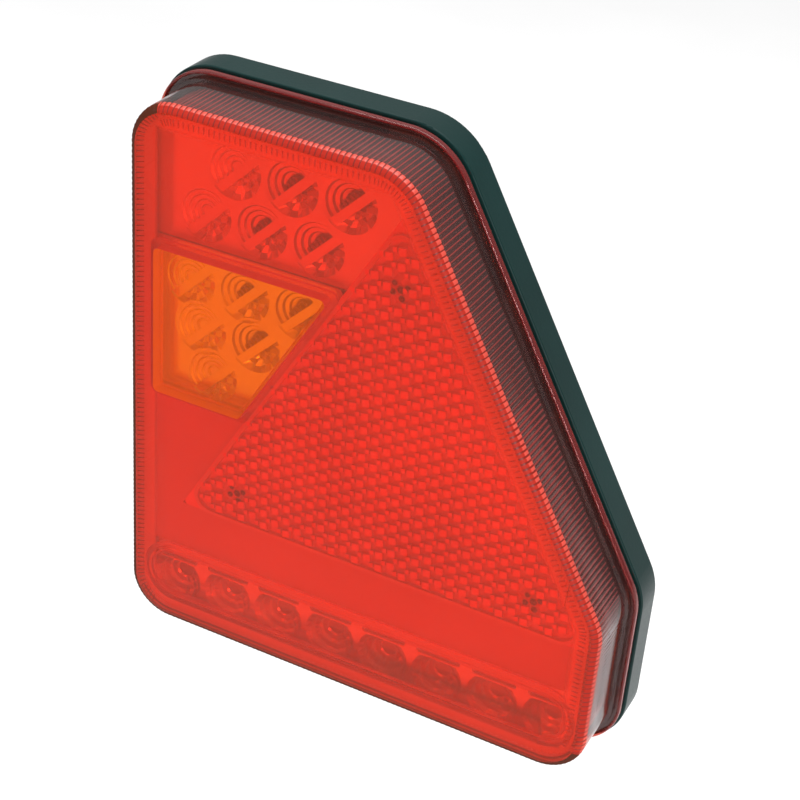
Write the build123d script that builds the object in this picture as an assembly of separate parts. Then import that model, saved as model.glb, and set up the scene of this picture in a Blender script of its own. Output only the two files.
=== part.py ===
from build123d import *
from math import cos, pi, radians, sin, sqrt, tan
import os

# Vehicle tail light for a trailer: sealed LED rear lamp with a built-in triangular reflector.
#
# The lamp is seen from behind the vehicle. +X points right, +Z points up and the lens faces -Y.
# The origin is the middle of the two mounting studs, on the flat rear face of the housing.
# Shapes are drawn on the lamp's own face: x and z measured from the lower left corner of the
# lens, and a height that is measured from the rear mounting face towards the lens.
# All sizes are in mm.

os.makedirs("parts", exist_ok=True)

# ---- driving dimensions --------------------------------------------------------------------
LENS_W = 190.0              # width of the lens wall outline
LENS_H = 213.0              # height of the lens wall outline
RIGHT_EDGE = 65.0           # length of the short upright edge on the right
SLANT_DEG = 60.0            # the cut-off corner, measured from horizontal
CORNER_R = 17.0             # the three square corners
SHOULDER_R = 20.0           # where the upright edge meets the slanted edge
CROWN_R = 22.0              # where the slanted edge meets the top edge

DEPTH = 41.5                # rear mounting face to lens front
STUD_SPACING = 120.0
STUD_HEIGHT_ON_LENS = 95.0  # stud line above the bottom of the lens
STUD_D = 6.0
STUD_LENGTH = 20.0          # thread standing out of the rear face
STUD_ROOT = 6.0             # neck inside the housing, up to its head
STUD_NECK_D = 7.0           # plain neck that fills the hole in the housing floor
STUD_HEAD_AF = 10.0
STUD_HEAD_T = 4.0

LENS_T = 2.6                # lens wall thickness
LENS_EDGE_R = 3.4           # rounding of the lens front edge
FLANGE_GROW = 4.0           # lens foot flange, outside the lens wall
FLANGE_T = 2.6
FLANGE_R = 1.1
STEP_GROW = 1.6             # low step where the side wall meets the flange
STEP_T = 0.8
FLANGE_GROOVE = (1.7, 2.9)  # inner and outer edge of the groove in the flange
FLANGE_GROOVE_DEPTH = 1.5
SEAL_T = 1.0
SEAL_GROW = 3.3
HOUSING_GROW = 5.0          # housing outside the lens wall: 200 x 223 overall
HOUSING_H = 13.4            # height of the housing tray
HOUSING_WALL = 3.0
HOUSING_FLOOR = 3.0
HOUSING_REAR_R = 1.2
HOUSING_RIM_R = 0.6
LEDGE_T = 3.0               # inward ledge at the rim of the tray that carries the lens foot
COLLAR_GROW = -3.1          # dark collar that stands up just inside the lens side wall
COLLAR_T = 0.9
COLLAR_TOP_DEPTH = 6.5

WINDOW_LEFT = 10.3          # amber window
WINDOW_LOW = 101.5
WINDOW_HIGH = 159.3
WINDOW_RIGHT = 79.6         # at its upper edge; the right side leans like the triangle
WINDOW_LEAN_DEG = 30.0
WINDOW_CORNER_R = 2.0
WINDOW_RIM = (1.5, 2.0)     # width and rise of the rim behind the window's edge

RIM_LENGTH = 180.6          # raised stadium rim behind the lens, around the strip lights
RIM_HEIGHT = 26.4
RIM_Z = 21.0
RIM_T = 3.4
RIM_RISE = 1.4

TRI_SIDE = 158.0            # reflector triangle
TRI_LEFT = 25.0
TRI_BASE = 56.0
TRI_CORNER_R = 5.0
PRISM_T = 2.2
TRI_SCREW_R = 68.5          # three screws on a circle about the triangle centre
CARRIER_DEPTH = 7.4         # carrier plate behind the lens front
CARRIER_T = 1.8
POST_BORE = 11.0            # depth of the screw holes in the tall posts

CUP_R = 10.6                # reflector cups
CUP_PITCH = 22.0
CUP_ROW = 19.05
CUP_DEPTH = 12.0
CUP_FOOT_R = 3.2
CUP_WALL = 1.0
CUP_RIM_DEPTH = 8.0         # cup rims behind the lens front
SKIRT_T = 1.4

PLATE_EDGE = 4.6            # left and top margin of everything behind the lens
PLATE_CORNER_R = 12.4
PLATE_TOP = 208.4

STRIP_CELLS = 8
STRIP_PITCH = 22.4
STRIP_CUP_Z = 15.0
STRIP_CUP_R = 10.3
STRIP_CUT_Z = 22.7          # straight upper edge of the strip cells
STRIP_SLOT = (17.6, 2.2)    # shallow slot above each cell
STRIP_PLATE = (180.2, 22.0, 10.9)   # length, height and end radius of the strip reflector

BLANK_DEPTH = 4.7           # plain panel behind the lens front
BLANK_T = 1.8

BOARD_FRONT_DEPTH = 22.5    # circuit board face behind the lens front
BOARD_T = 1.6

SCREW_D = 3.0
SCREW_CLEAR = 0.3           # round shanks stand clear of their holes by this much across
POST_R = 3.4                # tall posts under the reflector screws
BOARD_POST_R = 3.8          # short posts under the circuit board
STUD_BOSS_R = 9.0

GASKET_T = 1.2              # foam ring between housing and vehicle panel, squeezed flush
GASKET_GROW = -4.0
GASKET_WIDTH = 6.0
GROMMET_PLACE = (95.0, 48.0)
GROMMET_NECK_R = 7.0
GROMMET_FLANGE = (2.5, 2.5)     # width and thickness of the collar inside the housing
GROMMET_CONE = (6.4, 4.9, 7.0)  # root radius, tip radius and length behind the housing
CABLE_D = 7.0
VENT_PLACE = (95.0, 150.0)
VENT_R = 5.0
VENT_BORE_R = 1.5

TERMINAL_WAYS = 5
TERMINAL_PITCH = 5.0
TERMINAL_Z = 70.0
TERMINAL_SIZE = (8.0, 9.0)  # width across and height off the board

# ---- derived positions ---------------------------------------------------------------------
H_FRONT = DEPTH
H_LENS_BACK = DEPTH - LENS_T
H_SEAL = HOUSING_H
H_FLANGE = H_SEAL + SEAL_T
H_FLANGE_TOP = H_FLANGE + FLANGE_T
H_CUP_RIM = DEPTH - CUP_RIM_DEPTH
H_BOARD_TOP = DEPTH - BOARD_FRONT_DEPTH
H_BOARD = H_BOARD_TOP - BOARD_T
H_CARRIER_TOP = DEPTH - CARRIER_DEPTH
H_POST = H_CARRIER_TOP - CARRIER_T
TRI_CENTRE = (TRI_LEFT + TRI_SIDE / 2, TRI_BASE + TRI_SIDE * tan(radians(30)) / 2)

FACE = Plane(
    origin=(-LENS_W / 2, 0, -STUD_HEIGHT_ON_LENS),
    x_dir=(1, 0, 0),
    z_dir=(0, -1, 0),
)


# ---- helpers -------------------------------------------------------------------------------
def slab(sketch, low, high):
    """Extrude a face sketch between two heights above the mounting face."""
    return extrude(Pos(0, 0, low) * sketch, high - low)


def rod(x, z, radius, low, high):
    """Round bar standing on the face plan at x, z."""
    return Pos(x, z, (low + high) / 2) * Cylinder(radius, high - low)


def block(x, z, wide, tall, low, high):
    """Rectangular block centred on x, z."""
    return Pos(x, z, (low + high) / 2) * Box(wide, tall, high - low)


def rounded_polygon(points, radii):
    """Closed polygon with its own rounding at each corner; points run anticlockwise."""
    outline = make_face(Polyline(*points, close=True))
    for point, radius in zip(points, radii):
        if radius > 0:
            corner = outline.vertices().sort_by_distance((point[0], point[1], 0))[0]
            outline = fillet(corner, radius)
    return outline


def lamp_outline(grow):
    """The five-sided lamp outline, grown outwards by `grow` with concentric corners."""
    crown_x = LENS_W - (LENS_H - RIGHT_EDGE) / tan(radians(SLANT_DEG))
    shoulder = grow * tan(radians((90 - SLANT_DEG) / 2))
    crown = grow * tan(radians(SLANT_DEG / 2))
    points = [
        (-grow, -grow),
        (LENS_W + grow, -grow),
        (LENS_W + grow, RIGHT_EDGE + shoulder),
        (crown_x + crown, LENS_H + grow),
        (-grow, LENS_H + grow),
    ]
    square = CORNER_R + grow
    return rounded_polygon(points, [square, square, SHOULDER_R + grow, CROWN_R + grow, square])


def triangle(grow, corner):
    """The reflector triangle, grown outwards by `grow`."""
    side = TRI_SIDE + 2 * sqrt(3) * grow
    left = TRI_CENTRE[0] - side / 2
    base = TRI_BASE - grow
    points = [(left, base), (left + side, base), (left + side / 2, base + side * sin(pi / 3))]
    return rounded_polygon(points, [corner] * 3)


def window(grow, corner):
    """The four-sided amber window, grown outwards by `grow`; its right side follows the triangle."""
    lean = tan(radians(WINDOW_LEAN_DEG))
    side = grow / cos(radians(WINDOW_LEAN_DEG))
    foot = WINDOW_RIGHT - (WINDOW_HIGH - WINDOW_LOW) * lean
    points = [
        (WINDOW_LEFT - grow, WINDOW_LOW - grow),
        (foot + side - grow * lean, WINDOW_LOW - grow),
        (WINDOW_RIGHT + side + grow * lean, WINDOW_HIGH + grow),
        (WINDOW_LEFT - grow, WINDOW_HIGH + grow),
    ]
    return rounded_polygon(points, [corner, corner, corner, corner])


def stadium(x, z, length, height):
    """Slot shape with half-round ends, centred on x, z."""
    return Pos(x, z, 0) * SlotOverall(length, height)


def cup(x, z, radius, grow=0.0):
    """Solid of revolution of a reflector cup; `grow` gives the outer skin."""
    low = H_CUP_RIM - CUP_DEPTH
    foot = (CUP_FOOT_R + grow, low)
    rim = (radius + grow, H_CUP_RIM)
    belly = (foot[0] + (rim[0] - foot[0]) * 0.68, low + CUP_DEPTH * 0.42)
    profile = Polyline(rim, (0, H_CUP_RIM), (0, low), foot) + ThreePointArc(foot, belly, rim)
    upright = make_face(Plane.XZ * profile)
    return Pos(x, z, 0) * revolve(upright, Axis.Z)


def cup_reflector(outline, centres, radius, limit=None):
    """Moulded reflector: face plate, cups and a skirt that stands on the board.

    `limit` is a solid outside which no cup is cut, for cups with a straight upper edge.
    """
    plate = slab(outline, H_CUP_RIM - 2.0, H_CUP_RIM)
    skirt = slab(outline - offset(outline, -SKIRT_T), H_BOARD_TOP, H_CUP_RIM)
    body = plate + skirt
    inside = slab(outline, H_BOARD_TOP, H_CUP_RIM)
    for x, z in centres:
        body += cup(x, z, radius, CUP_WALL) & inside
    for x, z in centres:
        hollow = cup(x, z, radius)
        body -= hollow & limit if limit else hollow
        body -= rod(x, z, CUP_FOOT_R, H_BOARD_TOP - 1, H_CUP_RIM)
    return body


def led(x, z):
    """Surface-mounted diode: square package with a small dome."""
    package = block(x, z, 3.4, 3.4, H_BOARD_TOP, H_BOARD_TOP + 0.8)
    dome = Pos(x, z, H_BOARD_TOP + 0.8) * Sphere(1.2)
    upper = block(x, z, 4, 4, H_BOARD_TOP + 0.4, H_BOARD_TOP + 3)
    return package + (dome & upper)


def pan_screw(x, z, head_low, shank_low, shank_d=SCREW_D, head_r=2.9, head_t=1.9):
    """Cross-recessed pan-head screw, head towards the lens."""
    head = rod(x, z, head_r, head_low, head_low + head_t)
    head = fillet(head.edges().group_by(Axis.Z)[-1], 0.7)
    recess = block(x, z, 3.2, 0.8, head_low + head_t - 1.1, head_low + head_t + 1)
    recess += block(x, z, 0.8, 3.2, head_low + head_t - 1.1, head_low + head_t + 1)
    return head - recess + rod(x, z, shank_d / 2, shank_low, head_low)


def place(shape):
    """Move a shape from the face plan to the lamp's own frame."""
    return FACE.location * shape


# ---- positions of repeated features --------------------------------------------------------
stop_centres = [(37.0 + i * CUP_PITCH, 192.4) for i in range(3)]
stop_centres += [(26.0 + i * CUP_PITCH, 192.4 - CUP_ROW) for i in range(3)]

turn_centres = [(20.0 + i * CUP_PITCH, 146.6) for i in range(3)]
turn_centres += [(25.0 + i * CUP_PITCH, 146.6 - 18.3) for i in range(2)]
turn_centres += [(30.0, 146.6 - 36.0)]

strip_centres = [
    (LENS_W / 2 + (i - (STRIP_CELLS - 1) / 2) * STRIP_PITCH, STRIP_CUP_Z)
    for i in range(STRIP_CELLS)
]

tri_screws = [
    (TRI_CENTRE[0] + TRI_SCREW_R * cos(radians(a)), TRI_CENTRE[1] + TRI_SCREW_R * sin(radians(a)))
    for a in (90, 210, 330)
]

studs = [(LENS_W / 2 + side * STUD_SPACING / 2, STUD_HEIGHT_ON_LENS) for side in (-1, 1)]
board_screw_places = [(14.0, 88.0), (97.0, 200.0), (176.0, 44.0), (14.0, 40.0)]
blank_pegs = [(40.0, 36.5), (102.0, 36.5), (164.0, 36.5)]

# ---- rear housing --------------------------------------------------------------------------
housing = slab(lamp_outline(HOUSING_GROW), 0, HOUSING_H)
housing = fillet(housing.edges().group_by(Axis.Z)[0], HOUSING_REAR_R)
housing = fillet(housing.edges().group_by(Axis.Z)[-1], HOUSING_RIM_R)
housing -= slab(lamp_outline(HOUSING_GROW - HOUSING_WALL), HOUSING_FLOOR, HOUSING_H - LEDGE_T)
housing -= slab(lamp_outline(COLLAR_GROW), HOUSING_FLOOR, HOUSING_H + 1)
collar = lamp_outline(COLLAR_GROW) - lamp_outline(COLLAR_GROW - COLLAR_T)
housing += slab(collar, HOUSING_FLOOR, DEPTH - COLLAR_TOP_DEPTH)
for x, z in studs:
    housing += rod(x, z, STUD_BOSS_R, HOUSING_FLOOR, STUD_ROOT + STUD_HEAD_T)
    pocket = slab(
        Pos(x, z, 0) * RegularPolygon(STUD_HEAD_AF / 2, 6, major_radius=False),
        STUD_ROOT,
        STUD_ROOT + STUD_HEAD_T + 1,
    )
    housing -= pocket
    housing -= rod(x, z, STUD_NECK_D / 2 + SCREW_CLEAR / 2, -1, STUD_ROOT + 1)
for x, z in tri_screws:
    housing += rod(x, z, POST_R, HOUSING_FLOOR, H_POST)
    housing -= rod(x, z, SCREW_D / 2 + SCREW_CLEAR / 2, H_POST - POST_BORE, DEPTH)
for x, z in board_screw_places:
    housing += rod(x, z, BOARD_POST_R, HOUSING_FLOOR, H_BOARD)
    housing -= rod(x, z, SCREW_D / 2 + SCREW_CLEAR / 2, H_BOARD - 8, DEPTH)
for x in (30, 62.5, 127.5, 160):
    housing += block(x, 18.0, 1.6, 22.0, HOUSING_FLOOR, 8.0)
housing -= rod(*GROMMET_PLACE, GROMMET_NECK_R, -1, HOUSING_FLOOR + 1)
housing -= rod(*VENT_PLACE, VENT_R, -1, 1.0)
housing -= rod(*VENT_PLACE, VENT_BORE_R, -1, HOUSING_FLOOR + 1)
gasket_ring = lamp_outline(GASKET_GROW) - lamp_outline(GASKET_GROW - GASKET_WIDTH)
housing -= slab(gasket_ring, -1, GASKET_T)

# ---- foam ring between housing and vehicle panel, flush with the rear face when squeezed ----
mounting_gasket = slab(gasket_ring, 0, GASKET_T)

# ---- studs, grommet, vent ------------------------------------------------------------------
mounting_studs = []
for x, z in studs:
    head = slab(
        Pos(x, z, 0) * RegularPolygon(STUD_HEAD_AF / 2, 6, major_radius=False),
        STUD_ROOT,
        STUD_ROOT + STUD_HEAD_T,
    )
    neck = rod(x, z, STUD_NECK_D / 2, 0, STUD_ROOT)
    shank = rod(x, z, STUD_D / 2, -STUD_LENGTH, 0)
    shank = chamfer(shank.edges().group_by(Axis.Z)[0], 0.8)
    mounting_studs.append(head + neck + shank)

collar_w, collar_t = GROMMET_FLANGE
cone_root, cone_tip, cone_length = GROMMET_CONE
grommet = rod(*GROMMET_PLACE, GROMMET_NECK_R - 0.1, 0, HOUSING_FLOOR)
grommet += rod(*GROMMET_PLACE, GROMMET_NECK_R + collar_w, HOUSING_FLOOR, HOUSING_FLOOR + collar_t)
grommet += Pos(*GROMMET_PLACE, -cone_length / 2) * Cone(cone_tip, cone_root, cone_length)
grommet -= rod(*GROMMET_PLACE, CABLE_D / 2, -10, 10)

vent = rod(*VENT_PLACE, VENT_R - 0.1, 0.2, 1.0)
for i in range(6):
    angle = radians(60 * i)
    hole_x = VENT_PLACE[0] + 3.0 * cos(angle)
    hole_z = VENT_PLACE[1] + 3.0 * sin(angle)
    vent -= rod(hole_x, hole_z, 0.5, 0, 0.7)

# ---- lens with its foot flange, amber window and reflector triangle ------------------------
seal = slab(lamp_outline(SEAL_GROW) - lamp_outline(-2.6), H_SEAL, H_FLANGE)

lens = slab(lamp_outline(0), H_FLANGE_TOP, H_FRONT)
lens = fillet(lens.edges().group_by(Axis.Z)[-1], LENS_EDGE_R)
flange = slab(lamp_outline(FLANGE_GROW), H_FLANGE, H_FLANGE_TOP)
flange = fillet(flange.edges().group_by(Axis.Z)[-1], FLANGE_R)
lens += flange
lens += slab(lamp_outline(STEP_GROW), H_FLANGE_TOP, H_FLANGE_TOP + STEP_T)
groove_in, groove_out = FLANGE_GROOVE
groove = lamp_outline(groove_out) - lamp_outline(groove_in)
lens -= slab(groove, H_FLANGE_TOP - FLANGE_GROOVE_DEPTH, H_FLANGE_TOP + 1)
lens -= slab(lamp_outline(-LENS_T), H_FLANGE - 1, H_LENS_BACK)
lens -= slab(window(0.0, WINDOW_CORNER_R), H_LENS_BACK - 1, H_FRONT + 1)
rim = stadium(LENS_W / 2, RIM_Z, RIM_LENGTH, RIM_HEIGHT)
rim_inner = stadium(LENS_W / 2, RIM_Z, RIM_LENGTH - 2 * RIM_T, RIM_HEIGHT - 2 * RIM_T)
lens += slab(rim - rim_inner, H_LENS_BACK - RIM_RISE, H_LENS_BACK)

window_rim_w, window_rim_t = WINDOW_RIM
window_rim = window(0.0, WINDOW_CORNER_R) - window(-window_rim_w, 1.0)
amber = slab(window(0.0, WINDOW_CORNER_R), H_LENS_BACK, H_FRONT)
amber += slab(window_rim, H_LENS_BACK - window_rim_t, H_LENS_BACK)

prisms = slab(triangle(0, TRI_CORNER_R), H_LENS_BACK - PRISM_T, H_LENS_BACK)

carrier = slab(triangle(2.0, TRI_CORNER_R + 2), H_CARRIER_TOP - CARRIER_T, H_CARRIER_TOP)
carrier += slab(
    triangle(2.0, TRI_CORNER_R + 2) - triangle(0.6, TRI_CORNER_R + 0.6),
    H_CARRIER_TOP,
    H_LENS_BACK - 0.4,
)
reflex_screws = []
for x, z in tri_screws:
    carrier -= rod(x, z, SCREW_D / 2 + SCREW_CLEAR / 2, 0, DEPTH)
    reflex_screws.append(pan_screw(x, z, H_CARRIER_TOP, H_POST - 8))

# ---- reflectors ----------------------------------------------------------------------------
stop_plan = rounded_polygon(
    [
        (PLATE_EDGE, 161.3),
        (83.0, 161.3),
        (100.1, 191.0),
        (111.6, 191.0),
        (101.6, PLATE_TOP),
        (PLATE_EDGE, PLATE_TOP),
    ],
    [0.5, 2, 0, 1.5, 17.4, PLATE_CORNER_R],
)
stop_reflector = cup_reflector(stop_plan, stop_centres, CUP_R)

turn_plan = rounded_polygon(
    [(PLATE_EDGE, 99.6), (46.9, 99.6), (82.2, 160.8), (PLATE_EDGE, 160.8)],
    [0.5, 2, 2, 0.5],
)
turn_reflector = cup_reflector(turn_plan, turn_centres, CUP_R)

strip_plan = Pos(LENS_W / 2, STRIP_CUP_Z + 0.8, 0) * RectangleRounded(*STRIP_PLATE)
strip_limit = block(LENS_W / 2, STRIP_CUT_Z - 20, 200, 40, 0, DEPTH)
strip_reflector = cup_reflector(strip_plan, strip_centres, STRIP_CUP_R, strip_limit)
for x, z in strip_centres:
    strip_reflector -= block(x, STRIP_CUT_Z + 1.7, *STRIP_SLOT, H_CUP_RIM - 1.2, H_CUP_RIM + 1)

# ---- plain panel that fills the area without lights ----------------------------------------
blank_points = [
    (PLATE_EDGE, 33.4),
    (181.5, 33.4),
    (181.5, 53.5),
    (20.6, 53.5),
    (47.0, 99.2),
    (PLATE_EDGE, 99.2),
]
blank = rounded_polygon(blank_points, [1.5, 5, 4, 0, 1, 0.5])
H_BLANK = DEPTH - BLANK_DEPTH - BLANK_T
blank_panel = slab(blank, H_BLANK, H_BLANK + BLANK_T)
for x, z in blank_pegs:
    blank_panel += rod(x, z, 2.0, H_BOARD_TOP, H_BLANK)

# ---- circuit board and what is soldered to it ----------------------------------------------
board = slab(lamp_outline(-6.0), H_BOARD, H_BOARD_TOP)
for x, z in tri_screws:
    board -= rod(x, z, POST_R + 0.4, 0, DEPTH)
for x, z in board_screw_places:
    board -= rod(x, z, SCREW_D / 2 + SCREW_CLEAR / 2, 0, DEPTH)

stop_leds = [led(x, z) for x, z in stop_centres]
turn_leds = [led(x, z) for x, z in turn_centres]
strip_leds = [led(x, z) for x, z in strip_centres]
board_screws = [
    pan_screw(x, z, H_BOARD_TOP, H_BOARD - 6) for x, z in board_screw_places
]

resistors = []
for row in range(3):
    for column in range(4):
        resistors.append(block(60 + 9 * column, 120 + 6 * row, 6.3, 3.2, H_BOARD - 0.7, H_BOARD))

driver_chips = []
for x, z in ((60.0, 104.0), (80.0, 104.0), (100.0, 104.0)):
    chip = block(x, z, 5.0, 4.0, H_BOARD - 1.6, H_BOARD - 0.15)
    for side in (-1, 1):
        for i in range(4):
            lead_z = z + side * 2.5
            chip += block(x - 1.9 + 1.27 * i, lead_z, 0.45, 1.0, H_BOARD - 0.5, H_BOARD)
    driver_chips.append(chip)

capacitors = []
for x in (120.0, 132.0):
    can = rod(x, 106.0, 4.0, H_BOARD - 9.0, H_BOARD - 1.0)
    can = fillet(can.edges().group_by(Axis.Z)[0], 0.8)
    capacitors.append(can + block(x, 106.0, 8.4, 8.4, H_BOARD - 1.0, H_BOARD))

terminal_w, terminal_h = TERMINAL_SIZE
terminal_length = TERMINAL_WAYS * TERMINAL_PITCH
terminal_block = block(
    LENS_W / 2, TERMINAL_Z, terminal_length, terminal_w, H_BOARD - terminal_h, H_BOARD
)
terminal_screws = []
for i in range(TERMINAL_WAYS):
    x = LENS_W / 2 + (i - (TERMINAL_WAYS - 1) / 2) * TERMINAL_PITCH
    terminal_block -= block(x, TERMINAL_Z - 3.0, 3.4, 4.0, H_BOARD - 7.0, H_BOARD - 3.4)
    terminal_block -= rod(x, TERMINAL_Z + 1.4, 1.8, H_BOARD - 10, H_BOARD - 7.5)
    screw = rod(x, TERMINAL_Z + 1.4, 1.6, H_BOARD - 8.8, H_BOARD - 7.5)
    screw -= block(x, TERMINAL_Z + 1.4, 3.4, 0.5, H_BOARD - 9.5, H_BOARD - 8.2)
    terminal_screws.append(screw)

# ---- write one file per node ---------------------------------------------------------------
nodes = {
    "rear_housing": housing,
    "mounting_gasket": mounting_gasket,
    "mounting_studs": mounting_studs,
    "cable_grommet": grommet,
    "breather_vent": vent,
    "lens_seal": seal,
    "lens_red": lens,
    "lens_amber": amber,
    "reflex_prisms": prisms,
    "reflex_carrier": carrier,
    "reflex_screws": reflex_screws,
    "stop_reflector": stop_reflector,
    "turn_reflector": turn_reflector,
    "strip_reflector": strip_reflector,
    "blank_panel": blank_panel,
    "circuit_board": board,
    "stop_leds": stop_leds,
    "turn_leds": turn_leds,
    "strip_leds": strip_leds,
    "board_screws": board_screws,
    "resistors": resistors,
    "driver_chips": driver_chips,
    "capacitors": capacitors,
    "terminal_block": terminal_block,
    "terminal_screws": terminal_screws,
}
for name, shape in nodes.items():
    pieces = shape if isinstance(shape, list) else [shape]
    placed = [place(piece) for piece in pieces]
    whole = placed[0] if len(placed) == 1 else Compound(children=placed)
    whole.label = name
    export_step(whole, f"parts/{name}.step")
    box = whole.bounding_box()
    print(f"{name:18s} solids {len(whole.solids()):3d}  volume {whole.volume:10.1f}  "
          f"x {box.min.X:7.1f} {box.max.X:7.1f}  y {box.min.Y:7.1f} {box.max.Y:7.1f}  "
          f"z {box.min.Z:7.1f} {box.max.Z:7.1f}")
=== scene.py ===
import math
import random

import bmesh
import bpy
from mathutils import Matrix, Vector
from mathutils.geometry import delaunay_2d_cdt


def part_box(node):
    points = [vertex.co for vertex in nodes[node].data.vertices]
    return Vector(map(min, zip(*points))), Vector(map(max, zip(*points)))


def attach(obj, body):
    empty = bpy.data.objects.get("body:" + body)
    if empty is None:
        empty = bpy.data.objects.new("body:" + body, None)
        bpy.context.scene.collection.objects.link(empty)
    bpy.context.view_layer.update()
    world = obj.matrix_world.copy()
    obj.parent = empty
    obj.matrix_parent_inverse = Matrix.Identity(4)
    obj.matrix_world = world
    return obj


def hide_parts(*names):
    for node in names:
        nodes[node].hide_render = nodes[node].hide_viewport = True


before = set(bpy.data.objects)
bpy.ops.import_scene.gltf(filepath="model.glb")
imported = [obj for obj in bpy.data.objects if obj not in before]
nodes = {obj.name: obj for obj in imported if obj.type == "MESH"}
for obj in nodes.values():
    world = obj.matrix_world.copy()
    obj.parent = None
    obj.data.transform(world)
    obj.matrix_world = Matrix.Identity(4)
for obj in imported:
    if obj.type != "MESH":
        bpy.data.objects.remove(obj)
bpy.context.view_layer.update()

random.seed(7)

# ---------------------------------------------------------------- the lamp's own face plan
# Shapes are drawn in millimetres on the face of the lamp: x and z from the lower left corner of the
# lens wall, and depth behind the lens front.  The CAD boxes say where that plan lies.
lens_low, lens_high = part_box("lens_red")
house_low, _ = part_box("rear_housing")
FOOT = 4.0            # the lens's foot flange stands this far out of its wall
LENS_W = (lens_high.x - lens_low.x) * 1000 - 2 * FOOT
LENS_H = (lens_high.z - lens_low.z) * 1000 - 2 * FOOT
FRONT_Y = lens_low.y
RIGHT_EDGE = 65.0     # height at which the right edge turns into the slant
SLANT = math.radians(60)
CORNERS = (17.0, 17.0, 20.0, 22.0, 17.0)
WALL = 2.6            # thickness of the lens front
CUP_RIM = 8.0         # depth of the reflectors' front faces
BOARD = 22.5          # depth of their rear edges
SHARP = 0.01          # a corner radius up to this is drawn as a plain corner


def point(x, z, depth):
    """Face plan millimetres to the row frame in metres."""
    return (
        lens_low.x + (x + FOOT) / 1000,
        FRONT_Y + depth / 1000,
        lens_low.z + (z + FOOT) / 1000,
    )


def rounded(points, radii, step):
    """Closed outline of a convex polygon with rounded corners, sampled about every `step` mm.

    Each sample is (x, z, outward x, outward z, distance along the outline).
    """
    count = len(points)
    corners = []
    for i in range(count):
        here = Vector(points[i])
        back = (Vector(points[i - 1]) - here).normalized()
        ahead = (Vector(points[(i + 1) % count]) - here).normalized()
        half = back.angle(ahead) / 2
        radius = radii[i]
        run = radius / math.tan(half)
        centre = here + (back + ahead).normalized() * (radius / math.sin(half))
        corners.append((here + back * run, here + ahead * run, centre, radius, math.pi - 2 * half))
    samples = []
    travelled = 0.0
    for i in range(count):
        start, end, centre, radius, turn = corners[i]
        arc = radius * turn
        curved = radius > SHARP
        pieces = max(1, round(arc / step)) if curved else 1
        first = math.atan2(start.y - centre.y, start.x - centre.x) if curved else 0
        for k in range(pieces):
            if curved:
                angle = first + turn * k / pieces
                nx, nz = math.cos(angle), math.sin(angle)
                samples.append((centre.x + radius * nx, centre.y + radius * nz, nx, nz,
                                travelled + arc * k / pieces))
            else:
                edge = (Vector(points[(i + 1) % count]) - start).normalized()
                samples.append((start.x, start.y, edge.y, -edge.x, travelled))
        travelled += arc
        following = corners[(i + 1) % count][0]
        span = following - end
        length = span.length
        along = span.normalized()
        pieces = max(1, round(length / step))
        for k in range(pieces):
            spot = end + span * k / pieces
            samples.append((spot.x, spot.y, along.y, -along.x, travelled + length * k / pieces))
        travelled += length
    return samples, travelled


def plan_loop(points, corner, depth, step):
    """Rounded outline as a closed loop of (x, z, depth) points."""
    samples, _ = rounded(points, (corner,) * len(points), step)
    return [(x, z, depth) for x, z, *_ in samples]


def same_length(ring, other):
    """For each point of `ring`, the nearest point of `other`, so that the two can be lofted."""
    return [min(other, key=lambda q: (q[0] - x) ** 2 + (q[1] - z) ** 2) for x, z, _ in ring]


def lamp_points():
    """Corners of the lens wall, from the lower left one anticlockwise."""
    crown = LENS_W - (LENS_H - RIGHT_EDGE) / math.tan(SLANT)
    return [(0, 0), (LENS_W, 0), (LENS_W, RIGHT_EDGE), (crown, LENS_H), (0, LENS_H)]


# ---------------------------------------------------------------- mesh helpers
WELD_DISTANCE = 0.000004


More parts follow.
